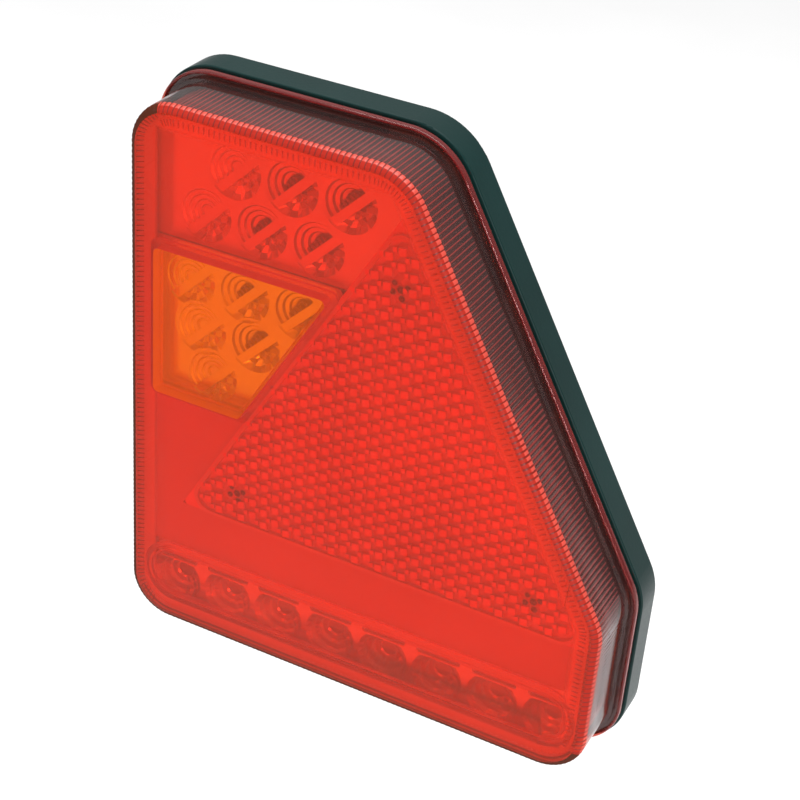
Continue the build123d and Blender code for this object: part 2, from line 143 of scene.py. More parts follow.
class Builder:
    """Collects vertices and faces in plan millimetres, with a material number and a shading flag each."""

    def __init__(self):
        self.verts = []
        self.faces = []
        self.slots = []
        self.smooth = []

    def add(self, verts, faces, slot=0, smooth=False):
        base = len(self.verts)
        self.verts += verts
        self.faces += [tuple(base + i for i in f) for f in faces]
        self.slots += [slot] * len(faces)
        self.smooth += [smooth] * len(faces)

    def loft(self, rings, slot=0, smooth=True):
        """Quads between equal-length closed rings of points.

        `slot` is a material number, or a function that gives one for each band and column of quads.
        """
        size = len(rings[0])
        for r in range(len(rings) - 1):
            groups = {}
            for k in range(size):
                n = (k + 1) % size
                number = slot(r, k) if callable(slot) else slot
                groups.setdefault(number, []).append((k, n, size + n, size + k))
            for number, quads in groups.items():
                self.add(rings[r] + rings[r + 1], quads, number, smooth)

    def cap(self, loops, keep, slot=0):
        """Triangulates the area between closed loops of (x, z, depth) points, where `keep` says so.

        Where two loops cross, the new vertex takes the depth of the first loop.
        """
        coords, edges, depths = [], [], []
        for loop in loops:
            base = len(coords)
            for x, z, d in loop:
                coords.append(Vector((x, z)))
                depths.append(d)
            for k in range(len(loop)):
                edges.append((base + k, base + (k + 1) % len(loop)))
        out, _, tris, source, _, _ = delaunay_2d_cdt(coords, edges, [], 0, 1e-6)
        verts = [(spot.x, spot.y, depths[origin[0] if origin else 0]) for spot, origin in zip(out, source)]
        faces = []
        for tri in tris:
            centre = sum((out[i] for i in tri), Vector((0, 0))) / len(tri)
            if keep(centre.x, centre.y):
                faces.append(tuple(tri))
        self.add(verts, faces, slot)

    def finish(self, name, materials, slot, hides=(), weld=True, angle=None):
        """One object of the lamp; it rides on the lamp's single body."""
        mesh = bpy.data.meshes.new(name)
        mesh.from_pydata([point(*v) for v in self.verts], [], self.faces)
        mesh.polygons.foreach_set("material_index", self.slots)
        mesh.polygons.foreach_set("use_smooth", self.smooth)
        for material in materials:
            mesh.materials.append(material)
        if weld:
            work = bmesh.new()
            work.from_mesh(mesh)
            bmesh.ops.remove_doubles(work, verts=work.verts, dist=WELD_DISTANCE)
            bmesh.ops.recalc_face_normals(work, faces=work.faces)
            work.to_mesh(mesh)
            work.free()
        if angle is not None:
            mesh.set_sharp_from_angle(angle=math.radians(angle))
        mesh.update()
        obj = bpy.data.objects.new(name, mesh)
        bpy.context.scene.collection.objects.link(obj)
        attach(obj, "root")
        if hides:
            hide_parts(*hides)
        return obj


def inside(loop, x, z):
    """Even-odd test of a point against a closed loop."""
    hit = False
    count = len(loop)
    for i in range(count):
        x1, z1 = loop[i][0], loop[i][1]
        x2, z2 = loop[i - 1][0], loop[i - 1][1]
        if (z1 > z) != (z2 > z) and x < (x2 - x1) * (z - z1) / (z2 - z1) + x1:
            hit = not hit
    return hit


# ---------------------------------------------------------------- materials
def new_material(name):
    mat = bpy.data.materials.new(name)
    mat.use_nodes = True
    tree = mat.node_tree
    return mat, tree, tree.nodes["Principled BSDF"]


def noise(tree, scale, detail=3.0):
    coords = tree.nodes.new("ShaderNodeTexCoord")
    tex = tree.nodes.new("ShaderNodeTexNoise")
    tex.inputs["Scale"].default_value = scale
    tex.inputs["Detail"].default_value = detail
    tree.links.new(coords.outputs["Object"], tex.inputs["Vector"])
    return tex


def ramp(tree, source, low, high, a=0.35, b=0.65):
    node = tree.nodes.new("ShaderNodeValToRGB")
    node.color_ramp.elements[0].position = a
    node.color_ramp.elements[1].position = b
    node.color_ramp.elements[0].color = (*low, 1)
    node.color_ramp.elements[1].color = (*high, 1)
    tree.links.new(source, node.inputs["Fac"])
    return node


def spread(tree, source, low, high):
    node = tree.nodes.new("ShaderNodeMapRange")
    node.inputs["To Min"].default_value = low
    node.inputs["To Max"].default_value = high
    tree.links.new(source, node.inputs["Value"])
    return node


def finish_surface(tree, shader, colour, vary, rough, grain, relief):
    """Slight colour drift, with fine grain in roughness and, where `relief` is given, in bump."""
    drift = noise(tree, 24.0, 2.0)
    tint = ramp(
        tree,
        drift.outputs["Fac"],
        tuple(c * (1 - vary) for c in colour),
        tuple(min(1.0, c * (1 + vary)) for c in colour),
    )
    tree.links.new(tint.outputs["Color"], shader.inputs["Base Color"])
    fine = noise(tree, grain, 2.0)
    rough_map = spread(tree, fine.outputs["Fac"], rough * 0.8, min(1.0, rough * 1.25))
    tree.links.new(rough_map.outputs["Result"], shader.inputs["Roughness"])
    if relief:
        node = tree.nodes.new("ShaderNodeBump")
        node.inputs["Strength"].default_value = relief
        node.inputs["Distance"].default_value = 0.0002
        tree.links.new(fine.outputs["Fac"], node.inputs["Height"])
        tree.links.new(node.outputs["Normal"], shader.inputs["Normal"])


def plastic(name, colour, vary, rough, grain=900.0, relief=0.15, specular=0.5, metallic=0.0):
    mat, tree, shader = new_material(name)
    finish_surface(tree, shader, colour, vary, rough, grain, relief)
    shader.inputs["Metallic"].default_value = metallic
    shader.inputs["Specular IOR Level"].default_value = specular
    return mat


GLOSS_POWER = 4.5


def clear_plastic(name, tint, haze, haze_colour, gloss=0.04, edge=0.9, rough=0.06, border=None):
    """Thin clear tinted moulding that lets light and sight straight through and is milky by `haze`.

    Its gloss grows from `gloss`, seen square on, to `edge` at grazing angles.  `border` is
    (near, far, most): the haze rises to `most` from `far` to `near` mm inside the lamp's outline.
    """
    mat, tree, shader = new_material(name)
    finish_surface(tree, shader, haze_colour, 0.03, 0.35, 500.0, 0.0)
    shader.inputs["Specular IOR Level"].default_value = 0.0
    see = tree.nodes.new("ShaderNodeBsdfTransparent")
    see.inputs["Color"].default_value = (*tint, 1)
    body = tree.nodes.new("ShaderNodeMixShader")
    drift = noise(tree, 35.0, 2.0)
    milk = spread(tree, drift.outputs["Fac"], haze * 0.92, min(1.0, haze * 1.08))
    share = milk.outputs["Result"]
    if border:
        near, far, most = border
        node = tree.nodes.new("ShaderNodeMix")
        node.inputs["B"].default_value = most
        tree.links.new(border_mask(tree, near, far), node.inputs["Factor"])
        tree.links.new(share, node.inputs["A"])
        share = node.outputs["Result"]
    tree.links.new(share, body.inputs["Fac"])
    tree.links.new(see.outputs["BSDF"], body.inputs[1])
    tree.links.new(shader.outputs["BSDF"], body.inputs[2])
    sheen = tree.nodes.new("ShaderNodeBsdfPrincipled")
    sheen.inputs["Base Color"].default_value = (1, 1, 1, 1)
    sheen.inputs["Metallic"].default_value = 1.0
    sheen.inputs["Roughness"].default_value = rough
    facing = tree.nodes.new("ShaderNodeLayerWeight")
    facing.inputs["Blend"].default_value = 0.5
    power = tree.nodes.new("ShaderNodeMath")
    power.operation = "POWER"
    power.inputs[1].default_value = GLOSS_POWER
    tree.links.new(facing.outputs["Facing"], power.inputs[0])
    share = spread(tree, power.outputs["Value"], gloss, edge)
    top = tree.nodes.new("ShaderNodeMixShader")
    tree.links.new(share.outputs["Result"], top.inputs["Fac"])
    tree.links.new(body.outputs["Shader"], top.inputs[1])
    tree.links.new(sheen.outputs["BSDF"], top.inputs[2])
    tree.links.new(top.outputs["Shader"], tree.nodes["Material Output"].inputs["Surface"])
    return mat


def border_mask(tree, near, far):
    """1 along the edge of the lamp's outline, falling to 0 between `near` and `far` mm inside it."""
    coords = tree.nodes.new("ShaderNodeTexCoord")
    split = tree.nodes.new("ShaderNodeSeparateXYZ")
    tree.links.new(coords.outputs["Object"], split.inputs["Vector"])

    def math_node(kind, a, b):
        node = tree.nodes.new("ShaderNodeMath")
        node.operation = kind
        for socket, value in zip(node.inputs, (a, b)):
            if isinstance(value, float):
                socket.default_value = value
            else:
                tree.links.new(value, socket)
        return node.outputs["Value"]

    low_x, low_z = point(0, 0, 0)[0], point(0, 0, 0)[2]
    high_x, high_z = point(LENS_W, 0, 0)[0], point(0, LENS_H, 0)[2]
    x, z = split.outputs["X"], split.outputs["Z"]
    shoulder = Vector(point(LENS_W, RIGHT_EDGE, 0))
    nx, nz = math.sin(SLANT), math.cos(SLANT)
    edges = [
        math_node("SUBTRACT", x, low_x),
        math_node("SUBTRACT", z, low_z),
        math_node("SUBTRACT", high_x, x),
        math_node("SUBTRACT", high_z, z),
        math_node(
            "SUBTRACT",
            nx * shoulder.x + nz * shoulder.z,
            math_node("ADD", math_node("MULTIPLY", x, nx), math_node("MULTIPLY", z, nz)),
        ),
    ]
    least = edges[0]
    for edge in edges[1:]:
        least = math_node("MINIMUM", least, edge)
    node = tree.nodes.new("ShaderNodeMapRange")
    node.inputs["From Min"].default_value = far / 1000
    node.inputs["From Max"].default_value = near / 1000
    tree.links.new(least, node.inputs["Value"])
    return node.outputs["Result"]


RED_TINT = (0.985, 0.36, 0.26)
RED_MILK = (0.90, 0.075, 0.018)
red_front = clear_plastic("red_lens_front", RED_TINT, 0.22, RED_MILK, gloss=0.015)
red_wall = clear_plastic("red_lens_wall", RED_TINT, 0.05, (0.45, 0.33, 0.31), gloss=0.045)
red_back = clear_plastic("red_lens_back", RED_TINT, 0.02, RED_MILK, gloss=0.015, border=(9.0, 11.0, 0.70))
red_ridge = clear_plastic("red_lens_ridges", RED_TINT, 0.50, (0.86, 0.060, 0.030), edge=0.15)
# Milky light red: painted highlights on the flutes of the front edge's top, slant and right sides; also the
# window hole's wall.
red_flute = clear_plastic(
    "red_lens_flutes", RED_TINT, 0.80, (0.80, 0.085, 0.055), gloss=0.04, edge=0.15, rough=0.35
)
# Dark red painted shade: the flutes' grooves, the dashes on the left side and two strips along the low
# side.
red_painted_groove_shade = clear_plastic(
    "red_lens_groove_shade", RED_TINT, 0.80, (0.24, 0.018, 0.010), gloss=0.02, edge=0.1, rough=0.35
)
# Lighter lines at the inner wall's grooves: painted highlights.
red_line = clear_plastic("red_lens_wall_lines", RED_TINT, 0.80, (0.40, 0.12, 0.13), gloss=0.04, edge=0.3)
red_foot = clear_plastic("red_lens_foot", RED_TINT, 0.30, (0.40, 0.03, 0.03))
# Dark front edge of the left and low sides: painted shade.
red_shaded_edge = clear_plastic("red_lens_edge_painted_shade", RED_TINT, 0.96, (0.085, 0.024, 0.012), gloss=0.01, edge=0.03)
red_dash = clear_plastic("red_lens_dashes", RED_TINT, 0.60, (0.48, 0.030, 0.015), gloss=0.02, edge=0.1)
red_shade = clear_plastic(
    "red_lens_border_shade", RED_TINT, 0.90, (0.47, 0.028, 0.016), gloss=0.006, edge=0.05, rough=0.40
)
red_unlit_strip = clear_plastic(
    "red_lens_unlit_wall", RED_TINT, 0.94, (0.66, 0.036, 0.024), gloss=0.01, edge=0.1, rough=0.35
)
AMBER_TINT = (0.985, 0.62, 0.10)
AMBER_MILK = (0.97, 0.150, 0.006)
amber_front = clear_plastic("amber_lens_front", AMBER_TINT, 0.28, AMBER_MILK, gloss=0.010)
amber_back = clear_plastic("amber_lens_back", AMBER_TINT, 0.05, AMBER_MILK, gloss=0.010, edge=0.2)
amber_rim = clear_plastic("amber_lens_rim", AMBER_TINT, 0.85, (0.95, 0.20, 0.010), gloss=0.02, edge=0.15)
# Reds of the reflex prisms: lit colour, painted half shade and painted shade.
prism_red = plastic("reflector_prisms", (0.94, 0.085, 0.05), 0.05, 0.30, relief=0.0, metallic=0.4)
prism_half_shade = plastic("reflector_prism_half_shade", (0.72, 0.050, 0.03), 0.08, 0.35, relief=0.0, metallic=0.3)
screw_spot = plastic("reflector_screw_glints", (0.05, 0.02, 0.02), 0.2, 0.4, relief=0.0)
prism_shade = plastic("reflector_prism_painted_shade", (0.30, 0.03, 0.02), 0.10, 0.40, relief=0.0)
mirror = plastic("metallised_plastic", (0.92, 0.92, 0.92), 0.02, 0.22, relief=0.02, metallic=0.9)
# Metallised plastic painted darker as shade, strong and weak, for cup steps and facets and the strip's
# recesses.
mirror_shade = plastic("metallised_painted_step_shade", (0.46, 0.38, 0.38), 0.05, 0.35, relief=0.02, metallic=0.6)
mirror_weak_shade = plastic(
    "metallised_painted_faint_step_shade", (0.74, 0.68, 0.68), 0.05, 0.35, relief=0.02, metallic=0.6
)
# Dark ribs in the cups: painted reflections of the fluting.
rib_reflection_dark = plastic("metallised_rib_painted_reflection", (0.20, 0.10, 0.10), 0.1, 0.5, relief=0.1)
panel_red = plastic("panel_plastic", (0.68, 0.085, 0.05), 0.03, 0.40, relief=0.05)
carrier_red = plastic("carrier_plastic", (0.75, 0.20, 0.15), 0.04, 0.35, relief=0.05)
housing_green = plastic("housing_plastic", (0.0028, 0.024, 0.022), 0.12, 0.33, relief=0.10, specular=0.17)
seal_black = plastic("seal_rubber", (0.012, 0.012, 0.012), 0.15, 0.7, relief=0.2)
rubber_black = plastic("grommet_rubber", (0.016, 0.016, 0.016), 0.2, 0.55, relief=0.25)
foam_black = plastic("gasket_foam", (0.02, 0.02, 0.02), 0.3, 0.95, grain=2600.0, relief=0.8, specular=0.2)
zinc = plastic("zinc_plate", (0.62, 0.62, 0.56), 0.12, 0.3, grain=500.0, relief=0.05, metallic=1.0)
dark_steel = plastic("blackened_steel", (0.10, 0.09, 0.09), 0.2, 0.35, relief=0.05, metallic=1.0)
board_green = plastic("board_laminate", (0.015, 0.12, 0.045), 0.15, 0.3, grain=300.0, relief=0.1)
led_white = plastic("led_package", (0.75, 0.72, 0.60), 0.05, 0.25, relief=0.0)
part_black = plastic("component_epoxy", (0.02, 0.02, 0.022), 0.2, 0.5, relief=0.2)
can_metal = plastic("capacitor_can", (0.75, 0.75, 0.76), 0.05, 0.3, relief=0.03, metallic=1.0)
terminal_green = plastic("terminal_body", (0.03, 0.22, 0.09), 0.1, 0.45, relief=0.1)
vent_grey = plastic("vent_membrane", (0.05, 0.05, 0.052), 0.2, 0.8, relief=0.5)

# Pieces that are shown as the CAD has them, each with its material
carried = {
    "rear_housing": housing_green,
    "mounting_gasket": foam_black,
    "mounting_studs": zinc,
    "cable_grommet": rubber_black,
    "breather_vent": vent_grey,
    "lens_seal": seal_black,
    "reflex_carrier": carrier_red,
    "reflex_screws": dark_steel,
    "blank_panel": panel_red,
    "circuit_board": board_green,
    "stop_leds": led_white,
    "turn_leds": led_white,
    "strip_leds": led_white,
    "board_screws": dark_steel,
    "resistors": part_black,
    "driver_chips": part_black,
    "capacitors": can_metal,
    "terminal_block": terminal_green,
    "terminal_screws": zinc,
}
for name, material in carried.items():
    mesh = nodes[name].data
    for i in range(len(mesh.materials)):
        mesh.materials[i] = material
    if not mesh.materials:
        mesh.materials.append(material)

# ---------------------------------------------------------------- plans
WINDOW = dict(left=10.3, right=79.6, low=101.5, high=159.3)
LEAN = math.tan(math.radians(30))


def window_loop(grow, corner, depth, step=0.8):
    """Outline of the amber window, whose right edge leans to the right."""
    side = grow / math.cos(math.radians(30))
    foot = WINDOW["right"] - (WINDOW["high"] - WINDOW["low"]) * LEAN
    points = [
        (WINDOW["left"] - grow, WINDOW["low"] - grow),
        (foot + side - grow * LEAN, WINDOW["low"] - grow),
        (WINDOW["right"] + side + grow * LEAN, WINDOW["high"] + grow),
        (WINDOW["left"] - grow, WINDOW["high"] + grow),
    ]
    return plan_loop(points, corner, depth, step)


STRIP_Z = 21.0


def stadium_loop(length, height, depth, step=0.8):
    """Round-ended outline centred on the bottom strip."""
    half = height / 2
    run = length / 2 - half
    loop = []
    pieces = max(8, round(math.pi * half / step))
    for end in (1, -1):
        for k in range(pieces + 1):
            angle = -end * math.pi / 2 + math.pi * k / pieces
            x = LENS_W / 2 + end * run + half * math.cos(angle)
            loop.append((x, STRIP_Z + half * math.sin(angle), depth))
    return loop


# ---------------------------------------------------------------- red lens
OUTLINE_STEP = 0.25
FLUTE = 2.0              # width of one flute along the outline
FRONT_RADIUS = 3.4       # rounding of the front edge
CURVE_STEPS = 8
SCALLOP = 0.22           # depth of the flutes on that rounding
GROOVE_SHARE = 0.13      # part of a flute's width on each side of its groove
BEAD_STEPS = 5           # rounding on top of the foot flange
WIDE, NARROW = 0.35, 0.5           # outward normal from which a rounded corner counts as the next side
FRONT, SIDE, BACK, RIDGE, FLUTES, FOOT_PART, GROOVE, LINE, INNER, SHADED_EDGE, DASH, SHADE, UNLIT_STRIP = range(13)
CURVE_NEAR, CURVE_FAR = 20, 21     # bands of the front edge; paint() turns them into materials

# Rings of the lens behind its rounded front edge, as the material of the band up to the ring,
# distance out of the outline, depth, flute depth outwards and flute depth backwards
OUTER_WALL = [
    (SIDE, 0, 10),
    (SIDE, 0, 23.4),
    (SIDE, 0.1, 23.65),
    (SIDE, 1.5, 23.75),
    (SIDE, 1.6, 24.6),
    (SIDE, 1.75, 26.0),
    (SIDE, 2.85, 26.0),
]
FOOT_AND_INNER_WALL = [
    (FOOT_PART, 4.0, 26.8),
    (FOOT_PART, 3.7, 27.1),
    (SIDE, -2.6, 27.1),
    (SIDE, -2.6, 26.0, 0.45),
    (INNER, -2.6, 20.0, 0.45),
    (INNER, -2.6, 6.4, 0.45),
    (FLUTES, -2.65, 5.6, 0.45),
    (FLUTES, -2.9, 4.3, 0.45, 0.15),
    (FLUTES, -3.3, 3.3, 0.35, 0.3),
    (FLUTES, -3.9, 2.8, 0.1, 0.4),
    (FLUTES, -4.4, 2.6, 0.0, 0.0),
]


def lens_shell():
    """The red lens: outer wall and foot, fluted inner wall, ridges around window and strip."""
    base, total = rounded(lamp_points(), CORNERS, OUTLINE_STEP)
    count = round(total / FLUTE)
    shell = Builder()
    rings, bands = [], []

    def ring(off, depth, amp=0.0, amp_depth=0.0):
        """The outline moved out by `off`; flutes take `amp` off it and `amp_depth` backwards."""
        points = []
        for x, z, nx, nz, s in base:
            dip = 1 - abs(math.sin(math.pi * s / total * count))
            o = off - amp * dip
            points.append((x + nx * o, z + nz * o, depth + amp_depth * dip))
        return points

    def band(kind, *args):
        rings.append(ring(*args))
        bands.append(kind)

    for k in (0, 1, 2, 3, 4, 5, 6, 8):
        angle = math.pi / 2 * k / CURVE_STEPS
        band(
            FRONT if k < 2 else CURVE_NEAR if k < 6 else CURVE_FAR,
            -FRONT_RADIUS + FRONT_RADIUS * math.sin(angle),
            FRONT_RADIUS - FRONT_RADIUS * math.cos(angle),
            SCALLOP * math.sin(angle) if k > 2 else 0.0,
        )
    for row in OUTER_WALL:
        band(*row)
    for k in range(BEAD_STEPS + 1):
        angle = math.pi * k / BEAD_STEPS
        band(FOOT_PART, 3.45 - 0.55 * math.cos(angle), 25.1 - 0.6 * math.sin(angle))
    for row in FOOT_AND_INNER_WALL:
        band(*row)

    def paint(row, column):
        """Material of one quad, with light and shade painted by side: the rounded front edge is painted
        dark as shade on the left and low sides, and elsewhere has flutes painted bright as highlights,
        painted shade in their grooves and a band of painted shade nearer the face; the inner corner is
        painted in shade with darker grooves, and the inner wall gets lighter lines at the grooves as
        painted highlights.
        """
        kind = bands[row + 1]
        _, _, nx, nz, s = base[column]
        phase = (s + OUTLINE_STEP / 2) / total * count % 1.0
        groove = min(phase, 1 - phase) < GROOVE_SHARE
        left, low = nx < -WIDE, nz < -WIDE
        if kind in (CURVE_NEAR, CURVE_FAR):
            if left or low:
                return SHADED_EDGE
            if groove:
                return GROOVE
            return SHADE if kind == CURVE_NEAR else FLUTES
        if kind == FLUTES:
            return GROOVE if groove and not low else SHADE
        if kind == INNER and groove and not low:
            return LINE
        return kind

    shell.loft(rings, slot=paint)

    def inner_strip(outer, inner, depth, slot, facing, every=4):
        """Flat strip inside the front edge, along the sides that `facing` picks by their normal."""
        rim_out, rim_in = ring(outer, depth), ring(inner, depth)
        for k in range(0, len(base), every):
            if facing(base[k][2], base[k][3]):
                n = (k + every) % len(base)
                shell.add([rim_out[k], rim_out[n], rim_in[n], rim_in[k]], [(0, 1, 2, 3)], slot)

    # Opaque red strip along the left and low sides, painted in the tone of the wall in shade.
    inner_strip(-0.5, -4.4, WALL - 0.15, UNLIT_STRIP, lambda nx, nz: nx < -WIDE or nz < -WIDE)
    # Two dark strips along the low side, painted shade.
    for outer, inner in ((-1.0, -1.7), (-2.7, -3.7)):
        inner_strip(outer, inner, WALL - 0.3, GROOVE, lambda nx, nz: nz < -NARROW)

    for k in range(count):
        x, z, nx, nz, _ = min(base, key=lambda q: abs(q[4] - (k + 0.5) * total / count))
        if nx < -NARROW:
            tip, root, half, lean, slot = -4.9, -2.0, 0.32, -0.8, GROOVE
        elif nz < -NARROW:
            continue
        else:
            tip, root, half, lean, slot = -8.0, -5.6, 0.30, 0.0, DASH

        def spot(out, along, depth):
            return (x + nx * out - nz * along, z + nz * out + nx * along, depth)

        low = [
            spot(out, half * side + lean * end, WALL - 0.1)
            for out, side, end in ((tip, -0.4, 1), (root, -1, 0), (root, 1, 0), (tip, 0.4, 1))
        ]
        ridge = [spot(tip, lean, WALL - 0.4), spot(root, 0.0, WALL - 0.7)]
        shell.add(low + ridge, [(0, 1, 5, 4), (2, 3, 4, 5), (1, 2, 5), (3, 0, 4)], slot)

    front_loop, back_loop = rings[0], rings[-1]
    hole_front = window_loop(0, 2.0, 0.0)
    shell.cap(
        [front_loop, hole_front],
        lambda x, z: inside(front_loop, x, z) and not inside(hole_front, x, z),
        FRONT,
    )
    hole_back = window_loop(0.0, 2.0, 4.4)
    ridge_out, ridge_foot = window_loop(2.2, 3.0, 4.4), window_loop(2.6, 3.2, WALL)
    shell.cap(
        [hole_back, ridge_out],
        lambda x, z: inside(ridge_out, x, z) and not inside(hole_back, x, z),
        RIDGE,
    )
    stadiums = [
        (stadium_loop(180.6, 26.4, WALL), stadium_loop(180.0, 25.8, 4.0)),
        (stadium_loop(176.0, 21.8, WALL), stadium_loop(176.6, 22.4, 4.0)),
        (stadium_loop(174.2, 20.0, WALL), stadium_loop(173.6, 19.4, 3.6)),
        (stadium_loop(171.8, 17.6, WALL), stadium_loop(172.4, 18.2, 3.6)),
    ]
    outer, second = stadiums[0][0], stadiums[1][0]
    third, fourth = stadiums[2][0], stadiums[3][0]
    shell.cap(
        [back_loop, ridge_foot, outer],
        lambda x, z: inside(back_loop, x, z) and not inside(ridge_foot, x, z) and not inside(outer, x, z),
        BACK,
    )
    shell.cap([second, third], lambda x, z: inside(second, x, z) and not inside(third, x, z), BACK)
    shell.cap([fourth], lambda x, z: inside(fourth, x, z), BACK)
    for first, other in ((0, 1), (2, 3)):
        high_a, high_b = stadiums[first][1], stadiums[other][1]
        shell.cap([high_a, high_b], lambda x, z: inside(high_a, x, z) and not inside(high_b, x, z), RIDGE)
    for low, high in stadiums:
        shell.loft([low, high], RIDGE, False)
    shell.loft([hole_front, hole_back], FLUTES, False)
    return shell, ridge_out, ridge_foot


shell, ridge_out, ridge_foot = lens_shell()
shell.loft([ridge_foot, same_length(ridge_foot, ridge_out)], RIDGE, False)
shell.finish(
    "lens_red_shell",
    [red_front, red_wall, red_back, red_ridge, red_flute, red_foot, red_painted_groove_shade, red_line, red_wall,
     red_shaded_edge, red_dash, red_shade, red_unlit_strip],
    "red_plastic",
    hides=("lens_red",),
    angle=40,
)

# ---------------------------------------------------------------- amber window
PANE_GAP = 0.03
pane = Builder()
front, back = window_loop(-PANE_GAP, 2.0, 0.0), window_loop(-PANE_GAP, 2.0, 4.5)
inner_top, inner_low = window_loop(-1.3, 1.0, 4.5), window_loop(-1.6, 1.0, WALL)
pane.cap([front], lambda x, z: inside(front, x, z), 0)
pane.loft([front, back], 2, False)
pane.cap([back, inner_top], lambda x, z: inside(back, x, z) and not inside(inner_top, x, z), 2)
pane.loft([inner_top, same_length(inner_top, inner_low)], 2, False)
pane.cap([inner_low], lambda x, z: inside(inner_low, x, z), 1)
pane.finish(
    "lens_amber_pane",
    [amber_front, amber_back, amber_rim],
    "amber_plastic",
    hides=("lens_amber",),
    weld=False,
)

# ---------------------------------------------------------------- triangular reflector
TRI_SIDE, TRI_LEFT, TRI_BASE = 158.0, 25.0, 56.0
TRI_X = TRI_LEFT + TRI_SIDE / 2
TRI_Z = TRI_BASE + TRI_SIDE * math.tan(math.radians(30)) / 2
SCREW_RADIUS = 68.5
SCREWS = [
    (TRI_X + SCREW_RADIUS * math.cos(math.radians(a)), TRI_Z + SCREW_RADIUS * math.sin(math.radians(a)))
    for a in (90, 210, 330)
]
SCREW_CLEAR = 4.2        # no tiles nearer than this to a screw
SCREW_SPOTS = (          # x, z and radius of the dark spots over each screw
    (0.3, 0.2, 1.5),
    (2.7, 1.4, 1.2),
    (-2.1, 2.2, 1.1),
    (0.9, -2.9, 1.3),
    (-2.6, -1.2, 1.2),
)
PRISM_PITCH = 5.49
PRISM_RELIEF = 0.55
PRISM_TOP = 3.3
PRISM_ROWS = range(-20, 28)
TILE_LOW = 3.6
PIP_SHARE = 0.05         # part of the cells that carry a small dark pip


def triangle_loop(grow, corner, depth, step=1.0):
    """Outline of the triangle, moved out by `grow`."""
    side = TRI_SIDE + 2 * math.sqrt(3) * grow
    left = TRI_X - side / 2
    low = TRI_BASE - grow
    points = [(left, low), (left + side, low), (left + side / 2, low + side * math.sin(math.pi / 3))]
    return plan_loop(points, corner, depth, step)


LIGHT, PRISM_HALF_SHADE, PRISM_SHADE, SPOT = range(4)


def tile(field, x, z, wide, high, top):
    """Flat-topped post of the prism field, a parallelogram with leaning sides: the top in the lit colour,
    the right and upper sides in painted half shade, the left and lower sides in painted shade.
    """
    u = Vector((math.cos(math.radians(10)), math.sin(math.radians(10)))) * wide / 2
    v = Vector((math.cos(math.radians(95)), math.sin(math.radians(95)))) * high / 2
    corners = [Vector((x, z)) + u * a + v * b for a, b in ((-1, -1), (1, -1), (1, 1), (-1, 1))]
    foot = [Vector((x, z)) + (c - Vector((x, z))) * 1.16 for c in corners]
    verts = [(c.x, c.y, top) for c in corners] + [(c.x, c.y, TILE_LOW) for c in foot]
    field.add(verts, [(0, 1, 2, 3)], LIGHT)
    field.add(verts, [(1, 5, 6, 2), (2, 6, 7, 3)], PRISM_HALF_SHADE)
    field.add(verts, [(0, 4, 5, 1), (3, 7, 4, 0)], PRISM_SHADE)


def pip(field, x, z, r, slot):
    """Small dark six-sided cone in the prism field."""
    turns = [math.radians(60 * k) for k in range(6)]
    ring = [(x + r * math.cos(a), z + r * math.sin(a), 3.1) for a in turns]
    field.add(ring + [(x, z, 2.75)], [(k, (k + 1) % 6, 6) for k in range(6)], slot)


def prisms():
    """Hexagonal array of three-sided cube corners in painted half shade, with tiles painted as lit facets
    on it, cut to the triangle.
    """
    radius = PRISM_PITCH / math.sqrt(3)
    border = triangle_loop(0.4, 5.0, 0)
    field = Builder()
    column = PRISM_PITCH * math.cos(math.radians(30))
    first = int(-TRI_SIDE / column / 2) - 2
    for i in range(first, -first + 1):
        for j in PRISM_ROWS:
            x = TRI_X + i * column
            z = TRI_Z + j * PRISM_PITCH + (PRISM_PITCH / 2 if i % 2 else 0)
            if not inside(border, x, z):
                continue
            ring = []
            for k in range(6):
                angle = math.radians(60 * k)
                lift = PRISM_RELIEF if k % 2 else 2 * PRISM_RELIEF
                ring.append((x + radius * math.cos(angle), z + radius * math.sin(angle), PRISM_TOP + lift))
            field.add([(x, z, PRISM_TOP)] + ring, [(0, 6, 1, 2), (0, 2, 3, 4), (0, 4, 5, 6)], PRISM_HALF_SHADE)
            if min(math.hypot(x - sx, z - sz) for sx, sz in SCREWS) > SCREW_CLEAR:
                tile(field, x, z, 2.8, 2.8, 2.85)
                tile(field, x - 2.9, z + 0.2, 1.6, 1.7, 2.95)
            # A few cells get a small dark pip, painted shade.
            if random.random() < PIP_SHARE:
                pip(field, x + random.uniform(-2, 2), z + random.uniform(-2, 2), 0.45, PRISM_SHADE)
    for sx, sz in SCREWS:
        for dx, dz, r in SCREW_SPOTS:
            pip(field, sx + dx, sz + dz, r, SPOT)
    plate = triangle_loop(2.6, 1.5, 4.62)
    field.cap([plate], lambda x, z: inside(plate, x, z), LIGHT)
    field.finish(
        "reflex_prism_field",
        [prism_red, prism_half_shade, prism_shade, screw_spot],
        "prism_plastic",
        hides=("reflex_prisms",),
        weld=False,
    )


prisms()


# ---------------------------------------------------------------- reflector cups
# Slots of the reflector materials: plain metallised plastic, ribs painted dark as reflections, and strong
# and weak painted shade.
PLAIN, PAINTED_REFLECTION, STRONG_SHADE, WEAK_SHADE = range(4)


def drawn_in(x, z, dx, dz, cuts):
    """Shortens the offset (dx, dz) from a cup's centre to the straight edges it may not pass.

    Each cut (nx, nz, c) is an edge of the points with nx * x + nz * z = c.
    """
    for nx, nz, limit in cuts:
        room = limit - nx * x - nz * z
        reach = nx * dx + nz * dz
        if reach > room:
            dx, dz = dx * room / reach, dz * room / reach
    return dx, dz


